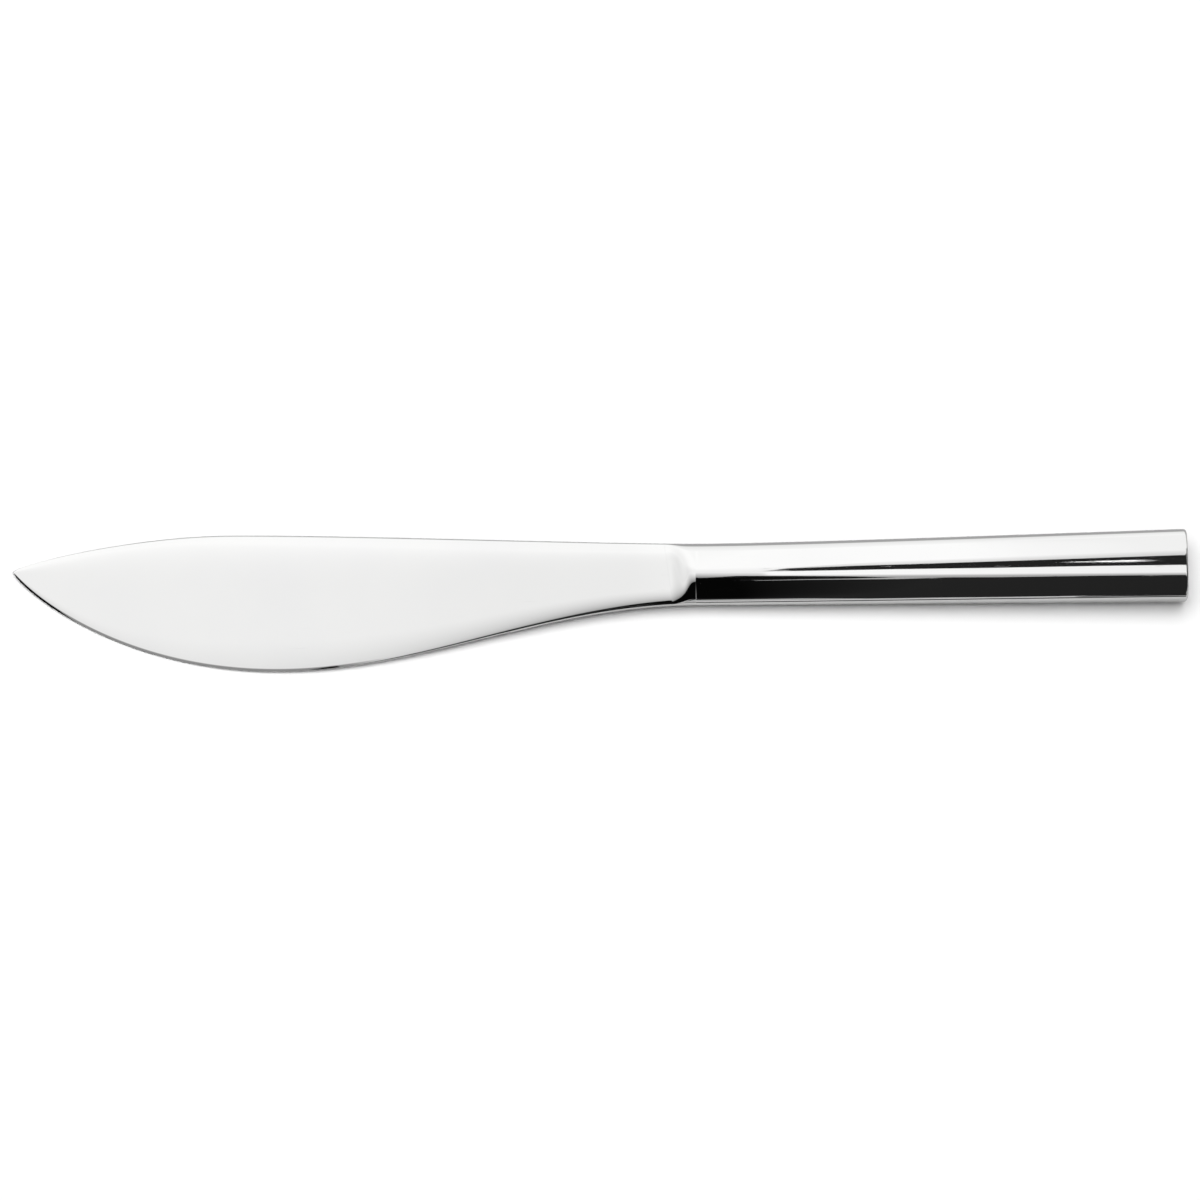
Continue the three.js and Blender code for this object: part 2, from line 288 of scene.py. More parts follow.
    def forged_height(self, x: Array, share: Array) -> Array:
        """Half thickness of the forged bar, whose edge side is fuller than the handle beside it."""
        power = np.where(share < 0, self.shoulder_squareness, self.neck_squareness)
        return self.crown(x) * self.bulge(share, power)

    def ground_height(self, x: Array, share: Array) -> Array:
        """Height that the grinding leaves: the flat flank with eased rims, and the hollow at its end.

        Args:
            x: Stations along the knife.
            share: Places across it, from -1 on the cutting edge to 1 on the spine.

        Returns:
            Heights over the middle plane.
        """
        flat = self.flank(x, self.centre(x) + self.half(x) * share)
        rim = np.where(share > 0, self.spine_ease, self.edge_ease)
        ease = 1 - rim * np.abs(share) ** self.flank_ease_power
        run = self.shoulder_run + self.shoulder_slant * share
        hollow = np.maximum(0.0, x - self.blade_length + run) ** 2 / (2 * self.shoulder_radius)
        return flat * ease + hollow

    def outer_height(self, x: Array, share: Array) -> Array:
        """Half thickness of the blade: the lower of forging, grinding and bevel, polished over.

        Args:
            x: Stations along the knife.
            share: Places across it, from -1 on the cutting edge to 1 on the spine.

        Returns:
            Heights over the middle plane.
        """
        forged = self.forged_height(x, share)
        ground = self.ground_height(x, share)
        polished = forged * (1 + (forged / ground) ** self.polish_power) ** (-1 / self.polish_power)
        return np.minimum(polished, ground - self.bevel_drop(x, share))

    def bevel_drop(self, x: Array, share: Array) -> Array:
        """How much the narrow bevel along the cutting edge takes off the ground flank.

        Args:
            x: Stations along the knife.
            share: Places across it, from -1 on the cutting edge to 1 on the spine.

        Returns:
            Depths in millimetres.
        """
        into_bevel = np.maximum(0.0, self.bevel_width - (1 + share) * self.half(x))
        strength = np.clip((self.bevel_end - x) / self.bevel_run, 0.0, 1.0)
        return self.bevel_slope * into_bevel * strength


class LyingPose:
    """How the knife lies: on the curve of its cutting edge and on the neck of the handle."""

    SECTION_POINTS = 61
    BLADE_STATIONS = 321
    HANDLE_STATIONS = 111

    def __init__(self, form: KnifeForm) -> None:
        """Works out the turn from the three feet, and the shift from the box of the whole form.

        Args:
            form: The knife's form.
        """
        feet_x = np.array((form.rest_x - form.rest_span / 2, form.rest_x + form.rest_span / 2))
        feet_y = form.edge_line.y_at(feet_x)
        first, second = np.stack((feet_x, feet_y, -form.flank(feet_x, feet_y)), axis=1)
        neck_x = np.array(form.blade_length)
        neck = np.array((neck_x, form.centre(neck_x), -form.neck_thickness / 2))
        normal = np.cross(second - first, neck - first)
        up = normal / np.linalg.norm(normal) * np.sign(normal[2])
        along = np.array((1.0, 0.0, 0.0)) - up[0] * up
        along /= np.linalg.norm(along)
        self.turn = np.stack((along, np.cross(up, along), up))
        points = self._form_points(form) @ self.turn.T
        low, high = points.min(axis=0), points.max(axis=0)
        self.shift = -np.array(((low[0] + high[0]) / 2, (low[1] + high[1]) / 2, low[2]))

    def _form_points(self, form: KnifeForm) -> Array:
        """Points of the blade and handle form, for the box of the knife.

        Args:
            form: The knife's form.

        Returns:
            One row for each point, with its x, y and z.
        """
        share = np.sin(np.linspace(-np.pi / 2, np.pi / 2, self.SECTION_POINTS))[None, :]
        blade_x = np.linspace(0.0, form.blade_length, self.BLADE_STATIONS)[:, None]
        corner = form.butt_x - form.butt_edge_radius
        handle_x = np.linspace(form.blade_length, corner, self.HANDLE_STATIONS)[:, None]
        end_x = np.full((1, 1), form.butt_x)
        stacks = []
        for x, height, inset in (
            (blade_x, form.outer_height(blade_x, share), 0.0),
            (handle_x, form.handle_height(handle_x, share), 0.0),
            (end_x, form.handle_height(end_x, share, form.butt_edge_radius), form.butt_edge_radius),
        ):
            y = form.centre(x) + (form.half(x) - inset) * share
            for sign in (1, -1):
                stacks.append(np.stack((x + 0 * share, y, sign * height), axis=-1).reshape(-1, 3))
        return np.concatenate(stacks)

    def matrix(self) -> Matrix:
        """The pose as a matrix.

        Returns:
            From millimetres of the knife to metres of the frame.
        """
        pose = np.eye(4)
        pose[:3, :3] = self.turn * MM
        pose[:3, 3] = self.shift * MM
        return Matrix(pose.tolist())


# Node trees


class NodeSheet:
    """Adds nodes to a tree and joins them, so that each line of a recipe is one step."""

    COLOUR_SOCKETS = (6, 7)  # numbers of the two colour inputs of a mix
    COLOUR_RESULT = 2  # number of its colour output

    def __init__(self, tree: bpy.types.NodeTree) -> None:
        """Keeps the shader, world or geometry tree to work on."""
        self.tree = tree

    def add(self, kind: str, inputs: Inputs | None = None, **settings: object) -> bpy.types.Node:
        """Adds one node.

        Args:
            kind: Type name of the node.
            inputs: What to set or join on its sockets, by name or number.
            settings: Properties of the node.

        Returns:
            The new node.
        """
        node = self.tree.nodes.new(kind)
        for name, value in settings.items():
            setattr(node, name, value)
        self.feed(node, inputs or {})
        return node

    def feed(self, node: bpy.types.Node, inputs: Inputs) -> None:
        """Joins sockets of a node to others, or sets them to plain values.

        Args:
            node: The node.
            inputs: What to set or join on its sockets, by name or number.
        """
        for socket, source in inputs.items():
            if isinstance(source, Socket):
                self.tree.links.new(source, node.inputs[socket])
            else:
                node.inputs[socket].default_value = source

    def math(self, operation: str, first: Source, second: Source = 0.0) -> Socket:
        """The result of a Math node."""
        return self.add("ShaderNodeMath", {0: first, 1: second}, operation=operation).outputs[0]

    def xyz(self, vector: Socket) -> tuple[Socket, ...]:
        """The three numbers of a vector."""
        return tuple(self.add("ShaderNodeSeparateXYZ", {0: vector}).outputs)

    def spread(self, value: Source, span: Pair, to_span: Pair) -> Socket:
        """A value from one range, clamped and carried over to another."""
        inputs = dict(enumerate((value, *span, *to_span)))
        return self.add("ShaderNodeMapRange", inputs).outputs[0]

    def noise(self, place: Source, size: float, detail: float, grit: float = 0.5) -> Socket:
        """A cloudy pattern from 0 to 1; grit is the strength of its finer layers."""
        inputs = {"Vector": place, "Scale": 1 / size, "Detail": detail, "Roughness": grit}
        return self.add("ShaderNodeTexNoise", inputs).outputs[0]

    def tint(self, share: Source, first: Colour, second: Colour) -> Socket:
        """A colour between two others.

        Args:
            share: Share of the second colour.
            first: Colour at 0.
            second: Colour at 1.

        Returns:
            The mixed colour.
        """
        colours = ((*first, 1.0), (*second, 1.0))
        inputs = {"Factor": share, **dict(zip(self.COLOUR_SOCKETS, colours))}
        return self.add("ShaderNodeMix", inputs, data_type="RGBA").outputs[self.COLOUR_RESULT]

    def seen_rays(self) -> Socket:
        """Tells the rays that show a thing from those that only carry light.

        Returns:
            1 for rays from the camera, a mirror or glass, and 0 for the others.
        """
        path = self.add("ShaderNodeLightPath")
        mirror = self.math("MAXIMUM", path.outputs["Is Camera Ray"], path.outputs["Is Glossy Ray"])
        seen = self.math("MAXIMUM", mirror, path.outputs["Is Transmission Ray"])
        return self.math("MULTIPLY", seen, self.math("LESS_THAN", path.outputs["Diffuse Depth"], HALFWAY))


def fresh_material(name: str) -> tuple[Material, NodeSheet, bpy.types.Node]:
    """A new material, with the sheet of its nodes and its surface shader.

    Args:
        name: Name of the material.

    Returns:
        Material, sheet and shader.
    """
    material = bpy.data.materials.new(name)
    material.use_nodes = True
    return material, NodeSheet(material.node_tree), material.node_tree.nodes["Principled BSDF"]


def enter(name: str, data: bpy.types.ID) -> bpy.types.Object:
    """A new object in the scene.

    Args:
        name: Name of the object.
        data: Its mesh, light or camera.

    Returns:
        The object, already linked.
    """
    made = bpy.data.objects.new(name, data)
    bpy.context.scene.collection.objects.link(made)
    return made


@dataclass
class Rail:
    """Rows of handle sections, each with an outer and an inner layer, for a box to bend round.

    Each array has one row for each station and two columns, the outer layer and the inner one.
    """

    NUMBERS = ("half", "crown", "power", "from_angle", "to_angle")

    x: Array
    centre: Array
    half: Array
    crown: Array
    power: Array
    from_angle: Array
    to_angle: Array

    def carrier(self, name: str) -> bpy.types.Object:
        """A mesh of loose points that holds the rail's rows as attributes.

        Args:
            name: Name of the object.

        Returns:
            The object, ready for the tree.
        """
        places = np.stack((self.x, self.centre, np.zeros_like(self.x)), axis=-1).reshape(-1, 3)
        mesh = bpy.data.meshes.new(name)
        mesh.from_pydata(places.tolist(), [], [])
        for field in self.NUMBERS:
            values = getattr(self, field).reshape(-1).astype(np.float32)
            mesh.attributes.new(field, "FLOAT", "POINT").data.foreach_set("value", values)
        return enter(name, mesh)


class BentBoxTree:
    """Node tree that bends a closed box round the handle form.

    The box's length follows the rows of a rail, its width an angle round the section, and its thickness goes
    from the outer layer of the rail to the inner one.
    """

    def __init__(self) -> None:
        """Builds the tree."""
        self.tree = bpy.data.node_groups.new("bent_box", "GeometryNodeTree")
        self.sockets: dict[str, str] = {}
        for name, kind in (
            ("Rail", "NodeSocketGeometry"),
            ("Rows", "NodeSocketInt"),
            ("Columns", "NodeSocketInt"),
            ("Full Ring", "NodeSocketBool"),
            ("Merge Distance", "NodeSocketFloat"),
            ("Finish", "NodeSocketMaterial"),
        ):
            item = self.tree.interface.new_socket(name, in_out="INPUT", socket_type=kind)
            self.sockets[name] = item.identifier
        self.tree.interface.new_socket("Piece", in_out="OUTPUT", socket_type="NodeSocketGeometry")
        self._fill(NodeSheet(self.tree))

    def _fill(self, sheet: NodeSheet) -> None:
        """Lays out the nodes from the plain box to the dressed piece.

        Args:
            sheet: Sheet of the tree's nodes.
        """
        given = sheet.add("NodeGroupInput").outputs
        box = sheet.add("GeometryNodeMeshCube", {
            "Vertices X": given["Rows"], "Vertices Y": given["Columns"], "Vertices Z": 2,
        })
        flow = self._without_end_walls(sheet, box.outputs["Mesh"], given["Full Ring"])
        for kind, inputs in (
            ("GeometryNodeSetPosition", {"Position": self._bent_place(sheet, given)}),
            ("GeometryNodeMergeByDistance", {"Distance": given["Merge Distance"]}),
            ("GeometryNodeRealizeInstances", {}),
            ("GeometryNodeSetMaterial", {"Material": given["Finish"]}),
        ):
            flow = sheet.add(kind, {"Geometry": flow, **inputs}).outputs[0]
        sheet.add("NodeGroupOutput", {0: flow})

    @staticmethod
    def _without_end_walls(sheet: NodeSheet, box: Socket, full_ring: Socket) -> Socket:
        """Opens the box at the two sides that meet when it is bent to a full ring.

        Args:
            sheet: Sheet of the tree's nodes.
            box: The plain box.
            full_ring: Whether it becomes a full ring.

        Returns:
            The box.
        """
        normal = sheet.add("GeometryNodeInputNormal").outputs[0]
        across = sheet.math("ABSOLUTE", sheet.xyz(normal)[1])
        is_wall = sheet.math("GREATER_THAN", across, HALFWAY)
        chosen = sheet.math("MULTIPLY", is_wall, full_ring)
        inputs = {"Geometry": box, "Selection": chosen}
        return sheet.add("GeometryNodeDeleteGeometry", inputs, domain="FACE").outputs[0]

    @staticmethod
    def _bent_place(sheet: NodeSheet, given: bpy.types.NodeOutputs) -> Socket:
        """Where each point of the box goes: a point of the superellipse of its row and layer.

        Args:
            sheet: Sheet of the tree's nodes.
            given: What is handed to the tree.

        Returns:
            The new place of each point.
        """
        u, v, w = sheet.xyz(sheet.add("GeometryNodeInputPosition").outputs[0])
        last_row = sheet.math("SUBTRACT", given["Rows"], 1)
        row = sheet.math("ROUND", sheet.math("MULTIPLY", sheet.math("ADD", u, BOX_HALF), last_row))
        inner = sheet.math("LESS_THAN", w, 0.0)
        index = sheet.math("ADD", sheet.math("MULTIPLY", row, 2), inner)

        def sample(value: Socket, kind: str = "FLOAT") -> Socket:
            """What the rail holds at this point's row and layer."""
            inputs = {"Geometry": given["Rail"], "Value": value, "Index": index}
            return sheet.add("GeometryNodeSampleIndex", inputs, data_type=kind).outputs[0]

        own_place = sheet.add("GeometryNodeInputPosition").outputs[0]
        x, centre, _ = sheet.xyz(sample(own_place, "FLOAT_VECTOR"))
        half, crown, power, start, end = (
            sample(sheet.add("GeometryNodeInputNamedAttribute", {"Name": name}, data_type="FLOAT").outputs[0])
            for name in Rail.NUMBERS
        )
        width = sheet.math("SUBTRACT", end, start)
        angle = sheet.math("ADD", start, sheet.math("MULTIPLY", width, sheet.math("ADD", v, BOX_HALF)))
        cosine = sheet.math("COSINE", angle)
        sine = sheet.math("SINE", angle)
        total = sheet.math(
            "ADD",
            sheet.math("POWER", sheet.math("ABSOLUTE", cosine), power),
            sheet.math("POWER", sheet.math("ABSOLUTE", sine), power),
        )
        reach = sheet.math("POWER", total, sheet.math("DIVIDE", -1.0, power))
        aside = sheet.math("MULTIPLY", half, sheet.math("MULTIPLY", cosine, reach))
        y = sheet.math("ADD", centre, aside)
        z = sheet.math("MULTIPLY", crown, sheet.math("MULTIPLY", sine, reach))
        return sheet.add("ShaderNodeCombineXYZ", {0: x, 1: y, 2: z}).outputs[0]

    def bend(
        self, name: str, rail: Rail, columns: int, finish: Material, full_ring: bool = False
    ) -> bpy.types.Mesh:
        """Bends a box round a rail and returns it as a plain mesh.

        Args:
            name: Name of the piece.
            rail: The rows to follow.
            columns: Points across the box.
            finish: Material of the piece.
            full_ring: Whether the box closes on itself round the section.

        Returns:
            The mesh, in the knife's own millimetres.
        """
        carrier = rail.carrier(name + "_rail")
        modifier = carrier.modifiers.new("bent_box", "NODES")
        modifier.node_group = self.tree
        for socket, value in (
            ("Rows", len(rail.x)),
            ("Columns", columns),
            ("Full Ring", full_ring),
            ("Merge Distance", WELD_TOLERANCE),
            ("Finish", finish),
        ):
            modifier[self.sockets[socket]] = value
        graph = bpy.context.evaluated_depsgraph_get()
        mesh = bpy.data.meshes.new_from_object(carrier.evaluated_get(graph))
        mesh.name = name
        points = carrier.data
        carrier.modifiers.remove(modifier)
        bpy.data.objects.remove(carrier)
        bpy.data.meshes.remove(points)
        return mesh


# Finishes


@dataclass(frozen=True)
class PolishedSteel:
    """Stainless steel, mirror polished along the knife. Lengths are in metres."""

    name: str = "mirror_polished_steel"
    colour: Colour = (0.87, 0.87, 0.865)
    line_spacing: float = 0.0003
    line_length: float = 0.012
    line_depth: float = 1.2e-8
    line_detail: float = 3.0
    line_grit: float = 0.6
    line_range: Pair = (0.62, 0.82)
    roughness: Pair = (0.02, 0.2)
    smudge_colour: Colour = (0.85, 0.85, 0.85)
    smudge_size: float = 0.03
    smudge_detail: float = 3.0
    smudge_range: Pair = (0.45, 0.75)
    smudge_roughness: float = 0.01

    def material(self) -> Material:
        """The finish: polishing lines in roughness and relief, smudges in colour and roughness.

        Returns:
            The finish as a material.
        """
        material, sheet, shader = fresh_material(self.name)
        place = sheet.add("ShaderNodeTexCoord").outputs["Object"]
        stretch = (1 / self.line_length, 1 / self.line_spacing, 1 / self.line_spacing)
        lengthwise = sheet.add("ShaderNodeMapping", {"Vector": place, "Scale": stretch}).outputs[0]
        lines = sheet.noise(lengthwise, 1.0, self.line_detail, self.line_grit)
        smudges = sheet.noise(place, self.smudge_size, self.smudge_detail)
        film = sheet.spread(smudges, self.smudge_range, (0.0, 1.0))
        line_rough = sheet.spread(lines, self.line_range, self.roughness)
        rough = sheet.math("ADD", line_rough, sheet.math("MULTIPLY", film, self.smudge_roughness))
        relief = sheet.add("ShaderNodeBump", {"Height": lines, "Distance": self.line_depth, "Strength": 1.0})
        sheet.feed(shader, {
            "Base Color": sheet.tint(film, self.colour, self.smudge_colour),
            "Metallic": 1.0,
            "Roughness": rough,
            "Normal": relief.outputs[0],
        })
        return material


@dataclass(frozen=True)
class BeddingCement:
    """Grey mineral cement with fine sand in it. Lengths are in metres."""

    name: str = "bedding_cement"
    colour: Colour = (0.40, 0.38, 0.34)
    sand_colour: Colour = (0.50, 0.48, 0.44)
    grain_size: float = 0.0004
    grain_depth: float = 5e-5
    grain_relief: float = 0.6
    cloud_size: float = 0.006
    cloud_detail: float = 4.0
    cloud_range: Pair = (0.3, 0.7)
    sand_share: Pair = (0.6, 1.2)
    roughness: Pair = (0.85, 0.98)

    def material(self) -> Material:
        """The finish: sand grains in colour and relief, clouded by damp.

        Returns:
            The finish as a material.
        """
        material, sheet, shader = fresh_material(self.name)
        place = sheet.add("ShaderNodeTexCoord").outputs["Object"]
        grains = sheet.add("ShaderNodeTexVoronoi", {"Vector": place, "Scale": 1 / self.grain_size}).outputs[0]
        clouds = sheet.noise(place, self.cloud_size, self.cloud_detail)
        sand = sheet.math("MULTIPLY", grains, sheet.spread(clouds, self.cloud_range, self.sand_share))
        relief = sheet.add("ShaderNodeBump", {
            "Height": grains, "Distance": self.grain_depth, "Strength": self.grain_relief,
        })
        sheet.feed(shader, {
            "Base Color": sheet.tint(sand, self.colour, self.sand_colour),
            "Roughness": sheet.spread(clouds, self.cloud_range, self.roughness),
            "Normal": relief.outputs[0],
        })
        return material


# Pieces


def lay_down(name: str, mesh: bpy.types.Mesh, pose: LyingPose, *nodes: str) -> None:
    """Lays a steel mesh on the table and enters it as a piece.

    Args:
        name: Name of the piece.
        mesh: Mesh in the knife's own millimetres, already dressed.
        pose: How the knife lies.
        nodes: CAD nodes that the piece stands for.
    """
    mesh.transform(pose.matrix())
    mesh.polygons.foreach_set("use_smooth", np.ones(len(mesh.polygons), dtype=bool))
    mesh.set_sharp_from_angle(angle=SHARP_ANGLE)
    mesh.update()
    piece = enter(name, mesh)
    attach(piece, BODY)
    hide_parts(*nodes)
    LOG.info("%s: %d faces", name, len(mesh.polygons))


@dataclass
class Blade:
    """The forged blade with its shoulder, the plug in the mouth of the handle and the notched tang."""

    form: KnifeForm
    weld_size: float = 0.6
    plug_inset: float = 0.9
    plug_length: float = 6.0
    tang_length: float = 58.0
    tang_width: float = 7.0
    tang_thickness: float = 2.6
    notch_radius: float = 1.2
    notch_spacing: float = 14.0
    notches: int = 3
    across_steps: int = 120
    arc_points: int = 13
    tip_steps: int = 40
    tip_zone: float = 12.0
    tip_crowding: float = 2.5
    flank_steps: int = 90
    shoulder_steps: int = 110

    def shares(self) -> Array:
        """Places across the section from the spine to the edge, crowded where the rims turn."""
        even = np.linspace(1.0, -1.0, self.across_steps + 1)
        return np.sin(np.pi / 2 * np.sin(np.pi / 2 * even))

    def stations(self) -> Array:
        """Stations of the sections, close together at the tip and on the shoulder.

        Returns:
            Stations from the tip to the groove of the weld.
        """
        form = self.form
        shoulder_start = form.blade_length - 2 * form.shoulder_run
        tip = self.tip_zone * np.linspace(0.0, 1.0, self.tip_steps + 1) ** self.tip_crowding
        flank = np.linspace(self.tip_zone, shoulder_start, self.flank_steps + 1)[1:]
        groove = form.blade_length - self.weld_size
        shoulder = np.linspace(shoulder_start, groove, self.shoulder_steps + 1)[1:]
        return np.concatenate((tip, flank, shoulder))

    def ring(self, x: float, y: Array, height: Array) -> Array:
        """A closed section: over the upper side from the spine to the edge and back below.

        Args:
            x: Station of the section.
            y: Places across it, from the spine to the edge.
            height: Half thickness at each place.

        Returns:
            One row for each point, with its x, y and z.
        """
        upper = np.stack((np.full_like(y, x), y, height), axis=-1)
        lower = upper[-2:0:-1] * (1, 1, -1)
        return np.concatenate((upper, lower))

    def outer_rings(self) -> list[Array]:
        """Sections of what shows, from the tip to the groove of the weld.

        Returns:
            One ring for each station.
        """
        share = self.shares()
        x = self.stations()[:, None]
        y = self.form.centre(x) + self.form.half(x) * share
        height = self.form.outer_height(x, share[None, :])
        return [self.ring(*section) for section in zip(x[:, 0], y, height)]

    def plug_rings(self) -> list[Array]:
        """Sections of the groove of the weld and of the plug in the mouth of the handle.

        Returns:
            Three rings, from the weld plane to the end of the plug.
        """
        share = self.shares()
        start = self.form.blade_length
        plug_end = start + self.plug_length
        places = ((start, self.weld_size), (start, self.plug_inset), (plug_end, self.plug_inset))
        rings = []
        for x, inset in places:
            station = np.array(x)
            y = self.form.centre(station) + (self.form.half(station) - inset) * share
            rings.append(self.ring(x, y, self.form.handle_height(station, share, inset)))
        return rings

    @property
    def tang_straight(self) -> float:
        """Length of the tang from the weld plane to where its end begins to turn."""
        return self.tang_length - self.tang_width / 2

    def notch_middles(self) -> Array:
        """Lengths beyond the weld plane at which the notches stand, from the end of the tang inwards."""
        return self.tang_straight - self.notch_spacing * (np.arange(self.notches) + 1 / 2)

    def tang_half(self, along: Array) -> Array:
        """Half width of the tang: straight, notched, with a round end.

        Args:
            along: Lengths beyond the weld plane.

        Returns:
            The half width at each length.
        """
        past = np.maximum(0.0, along - self.tang_straight)
        width = np.sqrt(np.maximum(0.0, (self.tang_width / 2) ** 2 - past**2))
        for middle in self.notch_middles():
            width = width - np.sqrt(np.maximum(0.0, self.notch_radius**2 - (along - middle) ** 2))
        return width

    def tang_rings(self) -> list[Array]:
        """Sections of the tang, from the plug to its round end.

        Returns:
            One ring for each stop on the notches and on the end.
        """
        share = self.shares()
        quarter = np.linspace(0.0, np.pi / 2, self.arc_points)
        half_turn = np.linspace(-np.pi / 2, np.pi / 2, self.arc_points)
        stops = [np.array((self.plug_length,)), self.tang_straight + self.tang_width / 2 * np.sin(quarter)]
        stops.extend(middle + self.notch_radius * np.sin(half_turn) for middle in self.notch_middles())
        along = np.unique(np.concatenate(stops))
        start = np.array(self.form.blade_length)
        finish = start + self.tang_length
        slope = (self.form.centre(finish) - self.form.centre(start)) / self.tang_length
        flat = np.where(np.abs(share) < 1, self.tang_thickness / 2, 0.0)
        rings = []
        for reach, half in zip(along, self.tang_half(along)):
            y = self.form.centre(start) + slope * reach + half * share
            rings.append(self.ring(float(start + reach), y, flat))
        return rings

    def mesh(self, finish: Material) -> bpy.types.Mesh:
        """The blade as one closed skin over its sections.

        Args:
            finish: Material of the blade.

        Returns:
            The mesh, in the knife's own millimetres.
        """
        rings = np.stack(self.outer_rings() + self.plug_rings() + self.tang_rings())
        rows, count, _ = rings.shape
        here = np.arange(rows - 1)[:, None] * count + np.arange(count)[None, :]
        turn = np.arange(rows - 1)[:, None] * count + (np.arange(count)[None, :] + 1) % count
        quads = np.stack((here, turn, turn + count, here + count), axis=-1).reshape(-1, 4)
        mesh = bpy.data.meshes.new("blade")
        mesh.from_pydata(rings.reshape(-1, 3).tolist(), [], quads.tolist())
        mesh.materials.append(finish)
        work = bmesh.new()
        work.from_mesh(mesh)
        bmesh.ops.remove_doubles(work, verts=work.verts, dist=WELD_TOLERANCE)
        bmesh.ops.dissolve_degenerate(work, edges=work.edges, dist=FLAT_TOLERANCE)
        work.to_mesh(mesh)
        work.free()
        return mesh

    def build(self, pose: LyingPose, finish: Material) -> None:
        """Builds the blade and enters it as a piece."""
        lay_down("forged_blade", self.mesh(finish), pose, "blade")


@dataclass
class HollowHandle:
    """Two pressed shells, the bead along their parting line and the bead at their mouth."""

    form: KnifeForm
    wall: float = 0.8
    weld_size: float = 0.6
    joint_gap: float = 0.1
    body_rows: int = 96
    corner_rows: int = 12
    end_rows: int = 10
    shell_columns: int = 128
    seam_columns: int = 9
    ring_columns: int = 257
    ring_rows: int = 5

    def rows(self) -> tuple[Array, Array, Array]:
        """Rows of a shell from its mouth to the middle of the butt.

        Returns:
            Station of the outside, angle that its plan normal has turned towards the butt, and share of the
            flat end that is covered, each as one column.
        """
        form = self.form
        mouth = form.blade_length + self.weld_size
        corner = form.butt_x - form.butt_edge_radius
        turn = np.linspace(0.0, np.pi / 2, self.corner_rows + 1)[1:]
        station = np.concatenate((
            np.linspace(mouth, corner, self.body_rows),
            corner + form.butt_edge_radius * np.sin(turn),
            np.full(self.end_rows, form.butt_x),
        ))
        angle = np.concatenate((np.zeros(self.body_rows), turn, np.full(self.end_rows, np.pi / 2)))
        covered = np.concatenate((
            np.zeros(self.body_rows + self.corner_rows),
            np.linspace(0.0, 1.0, self.end_rows + 1)[1:],
        ))
        return station[:, None], angle[:, None], covered[:, None]

    def layers(self, depth: float, station: Array, angle: Array) -> tuple[Array, Array, Array]:
        """Sizes of the outside and of a layer under it.

        Args:
            depth: How far the layer lies under the outside.
            station: Stations of the outside.
            angle: How far its plan normal has turned towards the butt.

        Returns:
            Station, half width and crown, each as two columns.
        """
        form = self.form
        depths = np.array((0.0, depth))
        inset = form.butt_edge_radius * (1 - np.cos(angle)) + depths * np.cos(angle)
        return station - depths * np.sin(angle), form.half(station) - inset, form.crown(station) - inset

    @staticmethod
    def angle_at(height: Array, crown: Array, power: Array) -> Array:
        """Angle round the section at which it stands at a height over the parting plane."""
        part = np.clip(height / crown, 0.0, 1.0) ** power
        return np.arctan2(part ** (1 / power), (1 - part) ** (1 / power))

    def shell_rail(self, side: Side) -> Rail:
        """Rows of one shell: its rims lean in to the parting plane, ready for the weld.

        Args:
            side: Which shell it is.

        Returns:
            The rows from the mouth to the middle of the butt.
        """
        station, angle, covered = self.rows()
        x, half, crown = self.layers(self.wall, station, angle)
        power = self.form.squareness(station) + 0 * x
        rim_heights = np.array((self.weld_size, self.joint_gap / 2))
        keep = 1 - covered * (1 - rim_heights / crown)
        rim = self.angle_at(rim_heights, crown * keep, power)
        x[0, 1] = self.form.blade_length + self.joint_gap / 2
        start, finish = (np.pi - rim, rim) if side is Side.UPPER else (-rim, rim - np.pi)
        return Rail(x, self.form.centre(station) + 0 * x, half * keep, crown * keep, power, start, finish)

    def seam_rail(self) -> Rail:
        """Rows of the bead between the shells.

        Returns:
            The rows along the spine side, across the butt and back.
        """
        station, angle, covered = self.rows()
        x, half, crown = self.layers(self.weld_size, station, angle)
        power = self.form.squareness(station) + 0 * x
        rim = self.angle_at(np.array((self.weld_size, self.joint_gap / 4)), crown, power)
        there = (x, self.form.centre(station) + 0 * x, half * (1 - covered), crown, power, rim)
        x, centre, half, crown, power, rim = (np.concatenate((part, part[-2::-1])) for part in there)
        half[len(station):] *= -1
        return Rail(x, centre, half, crown, power, rim, -rim)

    def ring_rail(self) -> Rail:
        """Rows of the bead at the mouth: a V that goes right round the neck.

        Returns:
            The rows from the blade to the shells.
        """
        form = self.form
        reach = np.linspace(-1.0, 1.0, self.ring_rows)
        outer_x = form.blade_length + self.weld_size * reach
        inner_x = form.blade_length + self.joint_gap / 4 * reach
        x = np.stack((outer_x, inner_x), axis=1)
        inset = np.array((0.0, self.weld_size))[None, :]
        start = np.zeros_like(x)
        return Rail(
            x, form.centre(x), form.half(x) - inset, form.crown(x) - inset, form.squareness(x),
            start, start - 2 * np.pi,
        )

    def build(self, pose: LyingPose, finish: Material) -> None:
        """Builds the four pieces and enters them.

        Args:
            pose: How the knife lies.
            finish: Material of the steel.
        """
        tree = BentBoxTree()
        for side in Side:
            name = f"{side.name.lower()}_shell"
            mesh = tree.bend(name, self.shell_rail(side), self.shell_columns, finish)
            lay_down(name, mesh, pose, f"{side.name.lower()}_handle_shell")
        seam = tree.bend("seam_bead", self.seam_rail(), self.seam_columns, finish)
        lay_down("seam_bead", seam, pose, "seam_weld")
        ring = tree.bend("mouth_bead", self.ring_rail(), self.ring_columns, finish, full_ring=True)
        lay_down("mouth_bead", ring, pose, "bolster_weld")


